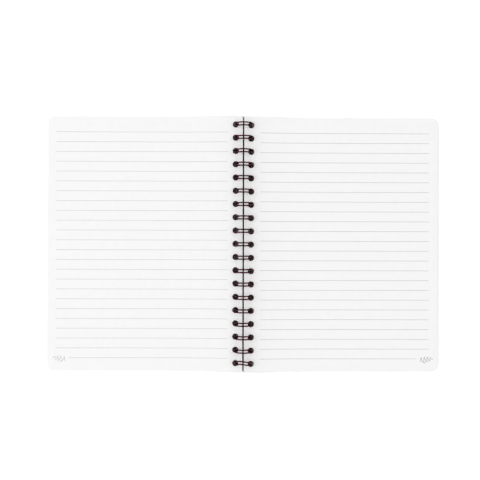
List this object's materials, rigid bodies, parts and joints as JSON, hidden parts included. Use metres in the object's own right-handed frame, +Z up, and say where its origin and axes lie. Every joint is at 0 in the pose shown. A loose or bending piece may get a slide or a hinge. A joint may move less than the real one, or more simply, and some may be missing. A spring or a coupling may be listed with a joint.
{
  "type": "open spiral notebook",
  "caption": "Wire-bound notebook lying open and flat, ruled pages turned over on both sides of a row of twin wire loops.",
  "frame": {"origin": "on the table, under the middle of the spine: the centre of the underside of the part's box", "axes": "+X from the left page to the right page, +Y up the pages, +Z up from the table"},
  "size_m": [0.3752, 0.2452, 0.0174],
  "materials": {
    "cover_card": "matt, black dyed card",
    "page_paper": "uncoated white writing paper, grey rules",
    "coated_wire": "wine-red nylon coat, satin"
  },
  "bodies": {
    "back_cover": {"back_cover": "cover_card", "wire_binding": "coated_wire"},
    "front_cover": {"front_cover": "cover_card"},
    "left_pages": {"left_pages": "page_paper"},
    "right_pages": {"right_pages": "page_paper"}
  },
  "joints": [
    {"name": "front_cover_turn", "type": "hinge", "parent": "back_cover", "child": "front_cover", "pos_m": [0, 0, 0.00869], "axis": [0, 1, 0], "range_deg": [0, 180]},
    {"name": "left_pages_turn", "type": "hinge", "parent": "front_cover", "child": "left_pages", "pos_m": [0, 0, 0.00869], "axis": [0, 1, 0], "range_deg": [0, 180]},
    {"name": "right_pages_turn", "type": "hinge", "parent": "back_cover", "child": "right_pages", "pos_m": [0, 0, 0.00869], "axis": [0, 1, 0], "range_deg": [-180, 0]}
  ]
}
